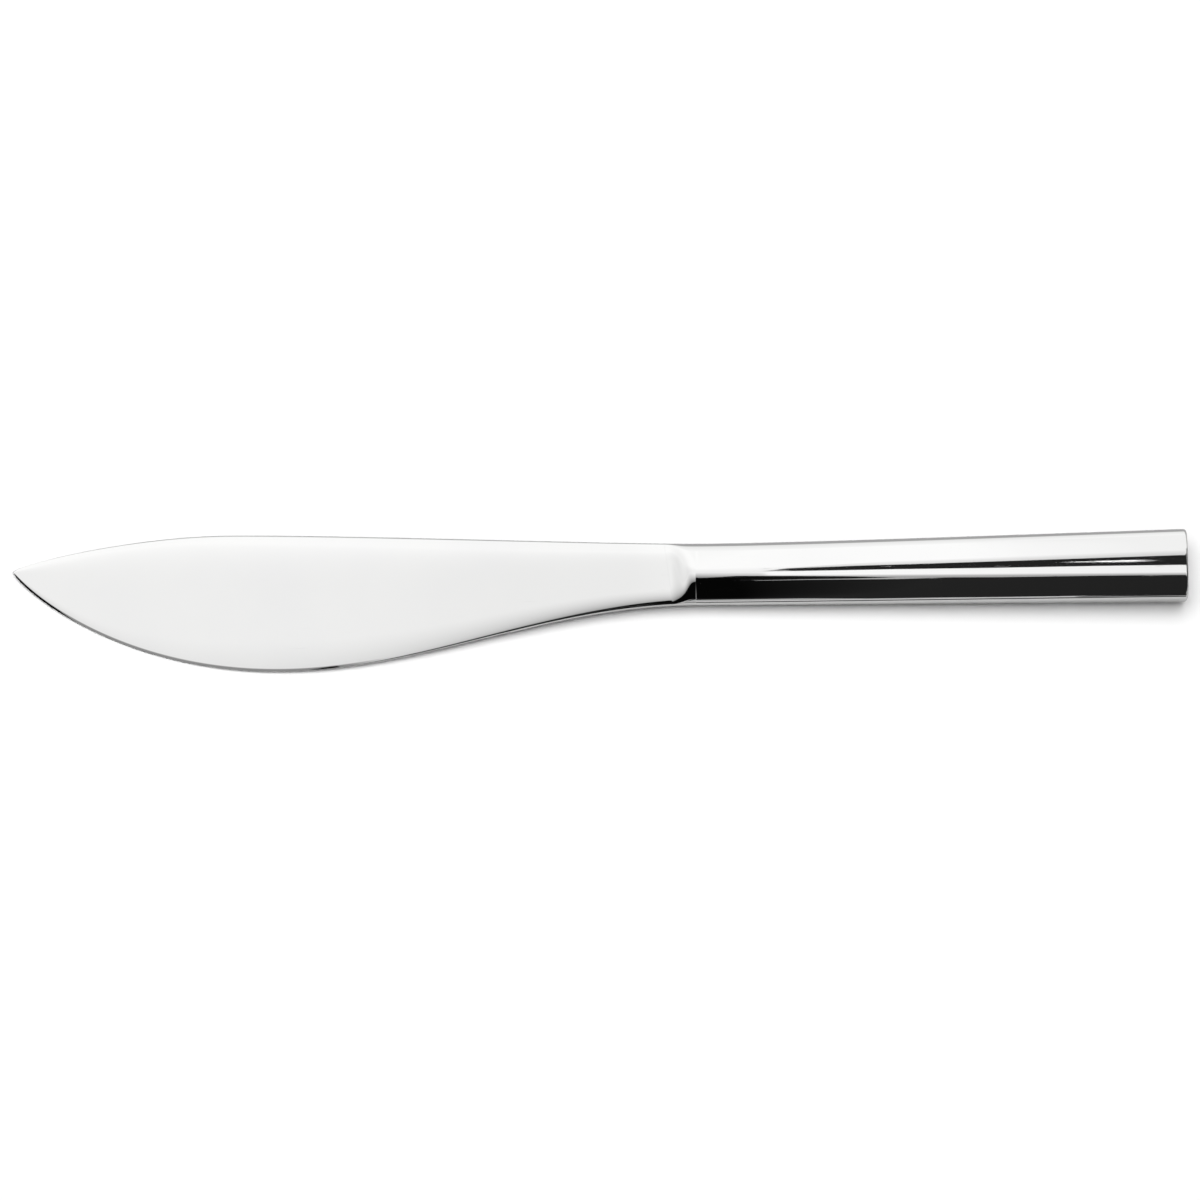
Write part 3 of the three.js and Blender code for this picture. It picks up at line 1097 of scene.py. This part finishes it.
@dataclass
class Bedding:
    """The cement that beds the tang. Its solid is right as it is and only gets its finish."""

    node: str = "tang_cement"

    def build(self, finish: Material) -> None:
        """Dresses the cement.

        Args:
            finish: Material of the cement.
        """
        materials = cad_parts[self.node].data.materials
        materials.clear()
        materials.append(finish)
        LOG.info("%s: dressed", self.node)


# Studio


class Axis(Enum):
    """Axes along which a card can change its tone, as places in a point."""

    X = 0
    Y = 1


@dataclass(frozen=True)
class Fade:
    """A change of tone along one axis of a card: steady between two places, level beyond them."""

    axis: Axis
    places: Pair
    levels: Pair


@dataclass
class Studio:
    """White table, lights overhead and behind, a dark front, and the camera. Metres and degrees.

    Angles of cards count from the vertical, positive towards the front.
    """

    # Camera
    camera_elevation: float = 72.0
    camera_distance: float = 1.032
    camera_target: Spot = (0.0004, 0.0, 0.004)
    lens: float = 135.0
    sensor: float = 36.0

    # Table, surround and key light
    floor_size: float = 12.0
    floor_colour: float = 0.97
    floor_lift: float = 0.01
    floor_in_mirrors: float = 0.5
    sky_light: float = 0.02
    horizon_tone: float = 0.88
    zenith_tone: float = 1.12
    zenith_start: float = 0.65
    key_strength: float = 3.3
    key_elevation: float = 83.5
    key_azimuth: float = -25.0
    key_angle: float = 62.0

    # Cards overhead: height, step between layers, reach to both sides, and the angles at which they end
    card_height: float = 2.0
    card_step: float = 0.002
    card_reach: float = 5.0
    top_start: float = 8.0
    top_end: float = -60.0
    gap_front: float = -11.3
    gap_back: float = -14.05
    rim_end: float = -18.5
    flag_end: float = 68.0
    right_flag_x: float = 2.0
    right_flag_end: float = -28.0

    # Walls, and the heights of the cards on the table
    wall_foot: float = 0.25
    wall_left: float = -0.15
    wall_arch: float = 1.15
    far_top: float = 1.4
    far_setback: float = 0.1
    right_wall_back: float = 1.8
    strip_height: float = 0.0003
    table_card_height: float = 0.0004

    # Tones of the cards, and how much lighter the far right corner of the walls is
    flag_tone: float = 0.018
    slit_tone: float = 0.45
    sliver_tone: float = 1.9
    left_tone: float = 0.8
    far_tone: float = 0.45
    strip_tone: float = 0.58
    # Painted shade on the table, seen in mirrors only: the tone of the dark bar in front of the handle
    bar_shade_tone: float = 0.02
    # Painted shade on the table behind the handle, seen in mirrors only
    back_shade_tone: float = 0.42
    corner_gain: float = 25.0

    def build_camera(self) -> None:
        """Sets the camera in front of the knife, high above the table."""
        elevation = math.radians(self.camera_elevation)
        back = Vector((0.0, -math.cos(elevation), math.sin(elevation)))
        data = bpy.data.cameras.new("camera")
        data.lens = self.lens
        data.sensor_width = self.sensor
        camera = enter("camera", data)
        camera.location = Vector(self.camera_target) + back * self.camera_distance
        camera.rotation_euler = (-back).to_track_quat("-Z", "Y").to_euler()
        bpy.context.scene.camera = camera

    def build_world(self) -> None:
        """A pale surround for what is seen, brighter overhead, and a dimmer one for the light it gives."""
        world = bpy.data.worlds.new("surround")
        world.use_nodes = True
        sheet = NodeSheet(world.node_tree)
        background = world.node_tree.nodes["Background"]
        upward = sheet.xyz(sheet.add("ShaderNodeTexCoord").outputs["Generated"])[2]
        shown = sheet.spread(upward, (0.0, self.zenith_start), (self.horizon_tone, self.zenith_tone))
        extra = sheet.math("MULTIPLY", sheet.seen_rays(), sheet.math("SUBTRACT", shown, self.sky_light))
        sheet.feed(background, {"Strength": sheet.math("ADD", extra, self.sky_light), "Color": WHITE})
        bpy.context.scene.world = world

    def plane(self, name: str, corners: tuple[Spot, ...], material: Material) -> bpy.types.Object:
        """A flat stage object with any number of corners.

        Args:
            name: Name of the object.
            corners: Its corners in order.
            material: Its material.

        Returns:
            The object.
        """
        mesh = bpy.data.meshes.new(name)
        mesh.from_pydata(corners, [], [tuple(range(len(corners)))])
        mesh.materials.append(material)
        made = enter(name, mesh)
        return made

    def build_floor(self) -> None:
        """A white table that takes the shadow of the knife."""
        material, sheet, shader = fresh_material("white_table")
        mirror = sheet.add("ShaderNodeLightPath").outputs["Is Glossy Ray"]
        colour = sheet.spread(mirror, (0.0, 1.0), (self.floor_colour, self.floor_in_mirrors))
        sheet.feed(shader, {
            "Base Color": colour,
            "Roughness": 1.0,
            "Specular IOR Level": 0.0,
            "Emission Color": WHITE,
            "Emission Strength": sheet.spread(sheet.seen_rays(), (0.0, 1.0), (0.0, self.floor_lift)),
        })
        half = self.floor_size / 2
        corners = ((-half, -half, 0.0), (half, -half, 0.0), (half, half, 0.0), (-half, half, 0.0))
        self.plane("table_top", corners, material)

    def card(self, name: str, tone: float, corners: tuple[Spot, ...], *fades: Fade) -> None:
        """A card that shows in mirrors only, so that it takes no light from the table.

        Args:
            name: Name of the card.
            tone: How bright it looks.
            corners: Its corners.
            fades: Changes of the tone across the card.
        """
        material, sheet, shader = fresh_material(name)
        place = sheet.xyz(sheet.add("ShaderNodeTexCoord").outputs["Object"])
        level = sheet.math("MULTIPLY", sheet.seen_rays(), tone)
        for fade in fades:
            share = sheet.spread(place[fade.axis.value], fade.places, fade.levels)
            level = sheet.math("MULTIPLY", level, share)
        sheet.feed(shader, {
            "Base Color": BLACK,
            "Specular IOR Level": 0.0,
            "Emission Color": WHITE,
            "Emission Strength": level,
        })
        made = self.plane(name, corners, material)
        for ray in ("camera", "diffuse", "shadow", "transmission"):
            setattr(made, f"visible_{ray}", False)

    def overhead(self, angle: float) -> float:
        """The y at card height that lies at an angle from the vertical."""
        return -self.card_height * math.tan(math.radians(angle))

    def fade_over(self, angles: Pair, levels: Pair) -> Fade:
        """A change of tone overhead from one angle to another."""
        return Fade(Axis.Y, (self.overhead(angles[0]), self.overhead(angles[1])), levels)

    def above(self, layer: int, *corners: Pair) -> tuple[Spot, ...]:
        """Corners of a card overhead, each from an x and an angle. Higher layers hang lower."""
        z = self.card_height - layer * self.card_step
        return tuple((x, self.overhead(angle), z) for x, angle in corners)

    @staticmethod
    def upright(y: float, *corners: Pair) -> tuple[Spot, ...]:
        """Corners of a card that stands across the front, each from an x and a height."""
        return tuple((x, y, z) for x, z in corners)

    def build_lights(self) -> None:
        """The large light overhead, the small one in front of it, and the dark gap between the two."""
        reach, start, top = self.card_reach, self.top_start, self.top_end
        front, back, rim = self.gap_front, self.gap_back, self.rim_end
        gap_tip = (-0.002, -9.9)
        gap_root = (0.012, -13.2)
        dim_to_butt = Fade(Axis.X, (0.14, 0.26), (1.0, 0.9))
        self.card(
            "top_light", self.zenith_tone,
            self.above(0, (-reach, start), (reach, start), (reach, top), (-reach, top)),
            # Grey towards the front flag, and a little dimmer in front than behind
            self.fade_over((1.0, -8.6), (0.3, 1.0)),
            self.fade_over((-10.0, -16.0), (0.88, 1.0)),
            # Dimmer towards the butt and the far left, and a faint dip over the blade
            dim_to_butt,
            Fade(Axis.X, (-2.5, -0.8), (0.9, 1.0)),
            Fade(Axis.X, (-0.3, -0.15), (1.0, 0.965)),
            Fade(Axis.X, (-0.075, -0.045), (1.0, 1.036)),
        )
        self.card(
            "front_light", self.zenith_tone,
            self.above(1, (gap_tip[0], start), (reach, start), (reach, front), (0.015, front), gap_tip),
            self.fade_over((-1.5, -5.0), (0.42, 1.0)),
            Fade(Axis.X, (0.0, 0.26), (1.0, 0.9)),
        )
        self.card(
            "light_rim", self.zenith_tone,
            self.above(1, gap_root, (0.09, -12.0), (reach, back), (reach, rim), (0.086, rim), (0.04, -16.0)),
            self.fade_over((-13.8, rim), (0.7, 1.0)),
            dim_to_butt,
        )
        self.card(
            "light_gap", self.flag_tone,
            self.above(
                2, gap_tip, (0.086, -10.9), (0.154, -10.95), (0.221, front), (0.5, front), (2.0, -15.5),
                (2.2, -21.0), (1.1, -16.5), (0.5, back), (0.06, back), gap_root,
            ),
        )
        self.card(
            "gap_sliver", self.sliver_tone,
            self.above(
                3, (0.199, -12.66), (0.217, -12.6), (0.246, -12.52),
                (0.264, -12.58), (0.246, -12.7), (0.217, -12.71),
            ),
        )

    def build_flags(self) -> None:
        """The dark flags overhead: the front one with a slit in it, and one on the right."""
        reach, end = self.card_reach, self.flag_end
        slit_foot = (0.086, 0.8)
        self.card(
            "front_flag", self.flag_tone,
            self.above(
                4, (-reach, end), (reach, end), (reach, -0.5), (0.255, -0.5), (0.221, -0.3), (0.154, 1.2),
                slit_foot, (0.0525, -1.6), (0.019, -2.4), (-0.022, -2.6), (-0.049, 1.6), (-0.3, 2.0),
                (-reach, 2.0),
            ),
            Fade(Axis.X, (-0.03, 0.1), (0.1, 1.0)),
        )
        self.card(
            "flag_slit", self.slit_tone,
            self.above(
                5, (-0.013, 6.8), (0.019, 5.0), (0.0525, 4.2), (0.086, 3.8), (0.12, 1.2),
                slit_foot, (0.0525, 2.8), (0.019, 4.0), (-0.013, 6.2),
            ),
        )
        right, back = self.right_flag_x, self.right_flag_end
        corners = self.above(6, (right, end), (reach, end), (reach, back), (right, back))
        self.card("right_flag", self.flag_tone, corners)

    def build_walls(self) -> None:
        """Walls in front and on the right: dark, but lighter on the left and in the far right corner."""
        reach, height = self.card_reach, self.card_height
        left, foot, arch = self.wall_left, self.wall_foot, self.wall_arch
        front_y = self.overhead(self.flag_end)
        far_y = front_y - self.far_setback
        self.card(
            "front_wall", self.flag_tone,
            self.upright(
                front_y, (left, foot), (-0.1, foot), (-0.06, arch), (0.1, arch), (0.22, foot), (0.33, foot),
                (0.4, 0.0), (reach, 0.0), (reach, height), (left, height),
            ),
            Fade(Axis.X, (1.2, 3.5), (1.0, self.corner_gain)),
        )
        self.card(
            "left_wall", self.left_tone,
            self.upright(front_y, (-reach, 0.0), (left, 0.0), (left, height), (-reach, height)),
            Fade(Axis.X, (-0.9, left), (1.0, 0.1)),
        )
        self.card(
            "far_wall", self.far_tone,
            self.upright(far_y, (-0.3, 0.0), (0.5, 0.0), (0.5, self.far_top), (-0.3, self.far_top)),
        )
        back = self.right_wall_back
        side = ((front_y, 0.0), (back, 0.0), (back, height), (front_y, height))
        self.card(
            "right_wall", self.flag_tone, tuple((reach, y, z) for y, z in side),
            Fade(Axis.Y, (-4.5, 0.9), (self.corner_gain, 1.0)),
        )

    def build_table_cards(self) -> None:
        """Cards on the table for the bands low on the handle, each with its corners as an x and a y. The dark
        bar in front of the handle and the dim card behind it are painted shade on the table, shown in mirrors
        only.
        """
        front_y = self.overhead(self.flag_end)
        low, high = self.strip_height, self.table_card_height
        strip = ((-0.02, -0.006), (0.145, -0.0085), (0.145, -0.06), (-0.02, -0.06))
        shade_bar = ((-0.02, -0.0105), (0.145, -0.0135), (0.145, -0.0265), (-0.02, -0.0215))
        front = ((0.112, -0.036), (0.4, -0.036), (2.0, front_y), (0.62, front_y))
        back = ((-1.0, 0.012), (1.0, 0.012), (1.0, 4.0), (-1.0, 4.0))
        for name, corners, z, tone in (
            ("table_strip", strip, low, self.strip_tone),
            # A dark bar of painted shade on the table in front of the handle, shown in mirrors only
            ("table_bar_shade", shade_bar, high, self.bar_shade_tone),
            ("table_front", front, high, self.flag_tone),
            # Painted shade on the table behind the handle, shown in mirrors only
            ("table_back_shade", back, high, self.back_shade_tone),
        ):
            self.card(name, tone, tuple((x, y, z) for x, y in corners))

    def build_key(self) -> None:
        """A broad soft light from above, a little from behind."""
        data = bpy.data.lights.new("key", "SUN")
        data.energy = self.key_strength
        data.angle = math.radians(self.key_angle)
        key = enter("key", data)
        elevation, azimuth = math.radians(self.key_elevation), math.radians(self.key_azimuth)
        towards = Vector((
            math.sin(azimuth) * math.cos(elevation),
            math.cos(azimuth) * math.cos(elevation),
            math.sin(elevation),
        ))
        key.rotation_euler = (-towards).to_track_quat("-Z", "Y").to_euler()
        key.visible_glossy = False

    def build(self) -> None:
        """Builds the whole studio."""
        bpy.context.scene.view_settings.view_transform = "Standard"
        self.build_camera()
        self.build_world()
        self.build_floor()
        self.build_lights()
        self.build_flags()
        self.build_walls()
        self.build_table_cards()
        self.build_key()
        LOG.info("studio: built")


def main() -> None:
    """Builds the knife and the studio."""
    logging.basicConfig(level=logging.INFO, format="%(name)s %(message)s")
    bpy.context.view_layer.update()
    form = KnifeForm()
    pose = LyingPose(form)
    steel = PolishedSteel().material()
    Blade(form).build(pose, steel)
    HollowHandle(form).build(pose, steel)
    Bedding().build(BeddingCement().material())
    Studio().build()


if __name__ == "__main__":
    main()
